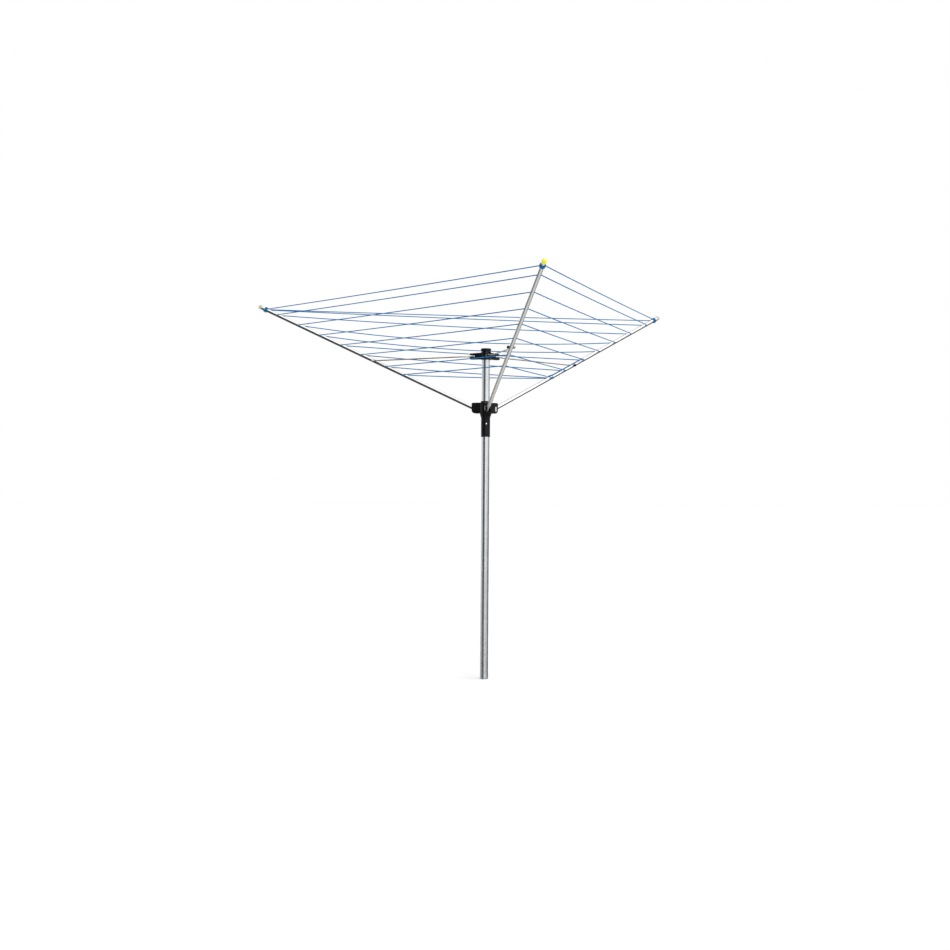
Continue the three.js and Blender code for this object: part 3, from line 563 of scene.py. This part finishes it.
drawn_alloy, place = finish("drawn_alloy")
run_map = place.node("ShaderNodeUVMap", {"uv_map": "run"}, {})
stretched = run_map.node("ShaderNodeMapping", {}, {"Vector": run_map, "Scale": (9.0, 260.0, 1.0)})
die_line = grain(stretched, 1.0, 5.0, 0.65)
dull = grain(place, 30.0, 5.0, 0.65)
nick = grain(place, 700.0, 2.0).rise(0.70, 0.76)
bright_share = die_line * 0.6 + dull * 0.4
coat(place, Base_Color=bright_share.blend((0.66, 0.655, 0.645, 1), (0.90, 0.895, 0.875, 1)),
     Metallic=1.0, Roughness=0.17 + dull * 0.12 + die_line * 0.05,
     Normal=bump(place, die_line * 0.8 - nick * 0.5, 0.3, 0.00012))
for station in stations:
    number = station.number
    through = [(along + arm_tail, facing, line_hole) for along in row_along for facing in (0.0, np.pi)]
    through += [(strut_along + arm_tail, facing, stud_radius + pin_play) for facing in (0.0, np.pi)]
    arm = drilled_tube(
        f"arm_skin_{number}", station.at(-arm_tail), station.at(arm_length), station.side, arm_radius,
        arm_wall, through, drawn_alloy, hole_dimple)
    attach(arm, f"arm_{number}")
    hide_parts(f"arm_tube_{number}")
    soften(f"arm_root_{number}", grey_moulding, 0.0004)


# Arm caps: moulded balls whose plugs are pressed in the arms' ends, yellow on the first arm and
# pale on the other two.
cap_ball = 0.011
cap_neck = 0.0094
cap_plug = 0.0075
plug_length = 0.014
ball_centre = arm_length + cap_ball


def moulded(name, light, dark):
    """A slightly glossy moulded plastic with a fine eggshell skin and a little grime."""
    material, place = finish(name)
    shell = grain(place, 1100.0, 2.0)
    grime = grain(place, 90.0, 5.0, 0.7).rise(0.5, 0.8)
    coat(place, Base_Color=grime.blend((*light, 1), (*dark, 1)), Roughness=0.32 + grime * 0.2,
         Normal=bump(place, shell, 0.25, 0.0001), Coat_Weight=0.15)
    return material


yellow_moulding = moulded("yellow_moulding", (0.80, 0.76, 0.035), (0.62, 0.58, 0.05))
pale_moulding = moulded("pale_moulding", (0.46, 0.47, 0.37), (0.26, 0.28, 0.15))
neck_turn = np.pi - np.arcsin(cap_neck / cap_ball)
ball_turn = np.linspace(neck_turn, 0, 22)
ball_profile = np.stack([ball_centre + cap_ball * np.cos(ball_turn), cap_ball * np.sin(ball_turn)], axis=1)
plug_profile = eased([
    (arm_length - plug_length, 0), (arm_length - plug_length, cap_plug - 0.001),
    (arm_length - plug_length + 0.0015, cap_plug), (arm_length + 0.0003, cap_plug),
    (arm_length + 0.0003, cap_neck), tuple(ball_profile[0])], 0.0004)
arm_cap_profile = np.concatenate([plug_profile[:-1], ball_profile])
for station in stations:
    number = station.number
    cap_moulding = yellow_moulding if number == 1 else pale_moulding
    arm_cap_rings = turned(arm_cap_profile, station.pivot, station.along, station.side)
    arm_cap = skin(f"arm_cap_skin_{number}", [arm_cap_rings], cap_moulding)
    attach(arm_cap, f"arm_{number}")
    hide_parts(f"arm_cap_{number}")


# Strut pivots: a steel stud through each arm tube with a black lobed knob nut on its far end.
nut_height = 0.010
nut_radius = 0.0065
nut_lobes = 8
nut_lobe_depth = 0.045
nut_face = -arm_radius - 0.0006
nut_end = nut_face - nut_height
nut_bore = stud_radius + pin_play
bore_end = nut_face - nut_height * 0.65 - pin_play
nut_profile = eased([
    (nut_face, nut_bore), (bore_end, nut_bore), (bore_end, 0.0), (nut_end, 0.0),
    (nut_end, nut_radius * 0.6), (nut_face - nut_height * 0.86, nut_radius * 0.9),
    (nut_face - nut_height * 0.6, nut_radius), (nut_face - nut_height * 0.16, nut_radius),
    (nut_face, nut_radius * 0.92), (nut_face, nut_bore)], 0.0005)
nut_profile = np.concatenate([nut_profile, nut_profile[:1]])
nut_outside = nut_profile[:, 1] > nut_radius * 0.62
for station in stations:
    number = station.number
    soften(f"pivot_stud_{number}", bright_plate, 0.0003)
    nut_rings = turned(nut_profile, station.at(strut_along), station.side, station.along, 64,
                       nut_lobes, nut_lobe_depth, nut_outside)
    nut = skin(f"pivot_nut_skin_{number}", [nut_rings], black_moulding)
    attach(nut, f"arm_{number}")
    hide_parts(f"pivot_nut_{number}")


# Struts: 6 mm plated steel rods with flattened, drilled ends, cranked near the hub so that each
# lies beside its arm. A domed rivet head stays in the arm end's eye.
rod_radius = 0.003
rod_offset = 0.0135
rod_from_eye = 0.004
crank_start, crank_end = 0.027, 0.063
flattening = 0.014
eye_radius = 0.007
arm_eye = (0.0096, 0.0146)
hub_eye = (-0.003, 0.003)
hub_eye_bore = 0.003
rivet_head = 0.0055
rivet_dome = 0.003

rod_steel, place = finish("rod_steel")
patch = grain(place, 50.0, 5.0, 0.65)
fine = grain(place, 420.0, 3.0)
coat(place, Base_Color=patch.blend((0.34, 0.31, 0.28, 1), (0.58, 0.55, 0.51, 1)), Metallic=1.0,
     Roughness=0.34 + patch * 0.16, Normal=bump(place, fine, 0.3, 0.0001))


def rod_rings(path, across, tall, side, columns=20):
    """Rings of a bar along a path: each is an ellipse square to the path, so wide and so tall."""
    along = np.gradient(path, axis=0)
    along /= np.linalg.norm(along, axis=1, keepdims=True)
    lift = np.cross(along, side)
    lift /= np.linalg.norm(lift, axis=1, keepdims=True)
    flank = np.cross(lift, along)
    angle = np.arange(columns) * 2 * np.pi / columns
    spread = np.broadcast_to(across, len(path))[:, None, None] * np.cos(angle)[:, None] * flank[:, None]
    raised = np.broadcast_to(tall, len(path))[:, None, None] * np.sin(angle)[:, None] * lift[:, None]
    return path[:, None] + spread + raised


def washer(low, high, bore, rim, origin, axis, side):
    """Rings of a drilled disc with rounded edges."""
    profile = eased([(low, bore), (low, rim), (high, rim), (high, bore), (low, bore), (low, rim)], 0.0007)
    profile = np.concatenate([profile[1:-1], profile[1:2]])
    return turned(profile, origin, axis, side, 40)


for station in stations:
    number = station.number
    reach = station.at(strut_along) - station.hub_pivot
    strut_length = np.linalg.norm(reach)
    strut_along_it = reach / strut_length
    rod_end = strut_length - rod_from_eye
    closer = strut_length - 0.02
    run = np.concatenate([
        np.linspace(rod_from_eye, crank_start, 9), np.linspace(crank_start, crank_end, 15)[1:],
        np.linspace(crank_end, closer, 6)[1:], np.linspace(closer, rod_end, 9)[1:]])
    share = np.clip((run - crank_start) / (crank_end - crank_start), 0, 1)
    offset = rod_offset * share * share * (3 - 2 * share)
    end_share = np.clip(1 - np.minimum(run - rod_from_eye, rod_end - run) / flattening, 0, 1) ** 2
    near_arm = run > strut_length / 2
    offset = offset + np.where(near_arm, end_share * (sum(arm_eye) / 2 - rod_offset), 0)
    path = station.hub_pivot + run[:, None] * strut_along_it + offset[:, None] * station.side
    across = rod_radius * (1 - 0.2 * end_share)
    tall = rod_radius * (1 + 0.7 * end_share)
    across[[0, -1]] = 1e-7
    tall[[0, -1]] = 1e-7
    arm_end = station.at(strut_along)
    rod = skin(f"strut_rod_skin_{number}", [
        rod_rings(path, across, tall, station.side),
        washer(*hub_eye, hub_eye_bore, eye_radius, station.hub_pivot, station.side, strut_along_it),
        washer(*arm_eye, nut_bore, eye_radius, arm_end, station.side, strut_along_it)], rod_steel)
    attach(rod, f"strut_{number}")
    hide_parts(f"strut_rod_{number}")
    rivet_start = arm_eye[0] + pin_play
    head_face = rod_offset + rod_radius + pin_play
    rivet_profile = eased([
        (rivet_start, 0), (rivet_start, stud_radius), (head_face, stud_radius), (head_face, rivet_head),
        (head_face + 0.0014, rivet_head - 0.0003), (head_face + rivet_dome - 0.0002, 0.003),
        (head_face + rivet_dome, 0)], 0.0006)
    rivet_rings = turned(rivet_profile, arm_end, station.side, strut_along_it, 40)
    rivet = skin(f"strut_rivet_skin_{number}", [rivet_rings], bright_plate)
    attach(rivet, f"strut_{number}")
    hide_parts(f"strut_rivet_{number}")


# Clothesline: one blue plastic-sheathed cord, 4.5 mm across, wound inward in a spiral through a
# hole in each arm. It moves in one row each time it crosses behind the pole, where it hangs
# slackest. Each half of a span belongs to its own arm.
line_radius = 0.00225
line_side = arm_radius + line_radius + 0.0008
side_sag = 0.0015
back_sag = np.array([0.003, 0.004, 0.010, 0.038, 0.031, 0.004, 0.004, 0.004, 0.004])
beside = 0.006
stub = 0.010
overlap = 0.001
folded_reach = 0.12
folded_lean = np.radians(2.5)
line_columns = 12

blue_sheath, place = finish("blue_sheath")
run_map = place.node("ShaderNodeUVMap", {"uv_map": "run"}, {})
lengthwise = run_map.node("ShaderNodeSeparateXYZ", {}, {"Vector": run_map}, 0)
turnwise = run_map.node("ShaderNodeSeparateXYZ", {}, {"Vector": run_map}, 1)
# The lay: a twist of ridges round the sheath that shapes the bump. The same wave also lightens the colour
# on the ridges and darkens it in the grooves: painted shade in the grooves.
lay_and_groove_shade = place.maths("SINE", (lengthwise / 0.011 + turnwise * 3.0) * (2 * np.pi))
weathered = grain(place, 14.0, 4.0, 0.6)
rubbed = grain(place, 420.0, 4.0, 0.6).rise(0.55, 0.75)
tone = 0.5 + lay_and_groove_shade * 0.16 + (weathered - 0.5) * 0.7 + rubbed * 0.15
coat(place, Base_Color=tone.blend((0.004, 0.095, 0.25, 1), (0.012, 0.20, 0.47, 1)),
     Roughness=0.55 + rubbed * 0.18, Specular_IOR_Level=0.12,
     Normal=bump(place, lay_and_groove_shade * 0.5 + rubbed * 0.3, 0.6, 0.0002))


def cord(path):
    """Rings of the line along a path, closed at each end by a half-round: as the path runs on by
    the radius times the sine of an angle, the ring shrinks with its cosine.
    """
    turn = np.linspace(0, np.pi / 2, 6)[1:]
    first, last = path[0] - path[1], path[-1] - path[-2]
    first, last = first / np.linalg.norm(first), last / np.linalg.norm(last)
    head = path[0] + line_radius * np.sin(turn)[::-1, None] * first
    tail = path[-1] + line_radius * np.sin(turn)[:, None] * last
    shrink = line_radius * np.cos(turn)
    width = np.concatenate([shrink[::-1], np.full(len(path), line_radius), shrink])
    whole = np.concatenate([head, path, tail])
    along = np.gradient(whole, axis=0)
    along /= np.linalg.norm(along, axis=1, keepdims=True)
    guide = np.array([0.31, 0.47, 0.83])
    flank = np.cross(along, guide)
    flank /= np.linalg.norm(flank, axis=1, keepdims=True)
    lift = np.cross(flank, along)
    angle = np.arange(line_columns) * 2 * np.pi / line_columns
    spoke = np.cos(angle)[:, None] * flank[:, None] + np.sin(angle)[:, None] * lift[:, None]
    return whole[:, None] + width[:, None, None] * spoke


def lay_line(name, paths, body):
    """One piece made of a length of line along each path, which rides a body."""
    piece = skin(name, [cord(path) for path in paths], blue_sheath)
    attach(piece, body)
    return piece


first, second, third = stations
last_row = len(row_along) - 1
spans = [(first, row, second, row) for row in range(last_row + 1)]
spans += [(third, row, first, row) for row in range(last_row + 1)]
spans += [(second, row, third, max(row - 1, 0)) for row in range(last_row + 1)]
spans.append((second, last_row, third, last_row))
spans_round_sides = 2 * (last_row + 1)
line_start, line_end = spans_round_sides, len(spans) - 1
leaving, arriving = {}, {}
for index, (station, row, other, other_row) in enumerate(spans):
    start_along = row_along[row] - (beside if index == line_end else 0)
    end_along = row_along[other_row] + (beside if index == line_start else 0)
    start, end = station.at(start_along, line_side), other.at(end_along, -line_side)
    span = end - start
    length = np.linalg.norm(span)
    ahead = span / length
    if index != line_end:
        leaving[station.number, row] = ahead
    if index != line_start:
        arriving[other.number, other_row] = -ahead
    drop = side_sag * length if index < line_start else back_sag[index - line_start]
    share = np.linspace(stub / length, 0.5, 12)[:, None]
    sag = 4 * share * (1 - share) * drop * upright
    halves = [(station, row, start_along, start + share * span - sag, 1),
              (other, other_row, end_along, end - share * span - sag, -1)]
    for owner, own_row, along, path, way in halves:
        if (index, way) in [(line_end, 1), (line_start, -1)]:
            path[0] = owner.at(along, way * line_side)
        name = f"line_span_{index + 1}_arm_{owner.number}_row_{own_row + 1}"
        half = lay_line(name, [path], f"arm_{owner.number}")
        reach = path[-1] - path[0]
        now = np.array([reach @ owner.side * way, reach @ owner.up])
        folded_out = np.linalg.norm(owner.pivot * (1, 1, 0)) + along * np.sin(folded_lean)
        sideways = folded_reach * np.sin(np.pi / 3) - line_side
        inward = folded_out - folded_reach * np.cos(np.pi / 3)
        shift = now - np.array([sideways, inward])
        axis = shift[0] * owner.side * way + shift[1] * owner.up
        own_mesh(half)

for station in stations:
    paths = []
    for row, along in enumerate(row_along):
        left, right = station.at(along, -line_side), station.at(along, line_side)
        corners = [left + arriving[station.number, row] * (stub + overlap), left, right,
                   right + leaving[station.number, row] * (stub + overlap)]
        paths.append(eased(corners, 0.005, 8))
    threaded = lay_line(f"line_threaded_{station.number}", paths, f"arm_{station.number}")
    if station is first:
        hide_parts("clothesline")


# Hitches: the line is wound three times round each arm in the outermost row.
hitch_turns = 3
hitch_radius = arm_radius + line_radius + 0.0001
hitch_pitch = line_radius * 2.05
turn = np.linspace(0, 2 * np.pi * hitch_turns, 48 * hitch_turns)
for station in stations:
    drift = (turn / (2 * np.pi) - hitch_turns / 2) * hitch_pitch
    path = station.at(row_along[0] + drift, hitch_radius * np.cos(turn), hitch_radius * np.sin(turn))
    lay_line(f"line_hitch_{station.number}", [path], f"arm_{station.number}")


# Tail and end knot: the line's end comes over the second arm at the innermost row and lies along
# its top to the sixth row. An overhand knot holds the innermost row on the near side.
tail_turn = np.radians([0, 30, 60, 90, 120, 120, 150])
over_at = row_along[last_row] - beside
sixth_row = row_along[5]
tail_along = [over_at, over_at, over_at + 0.001, over_at + 0.005,
              row_along[last_row] + 0.010, sixth_row - 0.014, sixth_row - 0.006]
tail = second.at(tail_along, line_side * np.cos(tail_turn), line_side * np.sin(tail_turn))
knot_turn = np.linspace(0, 2 * np.pi, 90)
knot_spread = 0.00168
knot_depth = 0.00231
knot_side = -arm_radius - 0.0065
knot = second.at(
    row_along[last_row] + knot_spread * (np.sin(knot_turn) + 2 * np.sin(2 * knot_turn)),
    knot_side - knot_depth * np.sin(3 * knot_turn),
    knot_spread * (np.cos(knot_turn) - 2 * np.cos(2 * knot_turn)))
lay_line("line_tail", [eased(tail, 0.006, 5), knot], "arm_2")
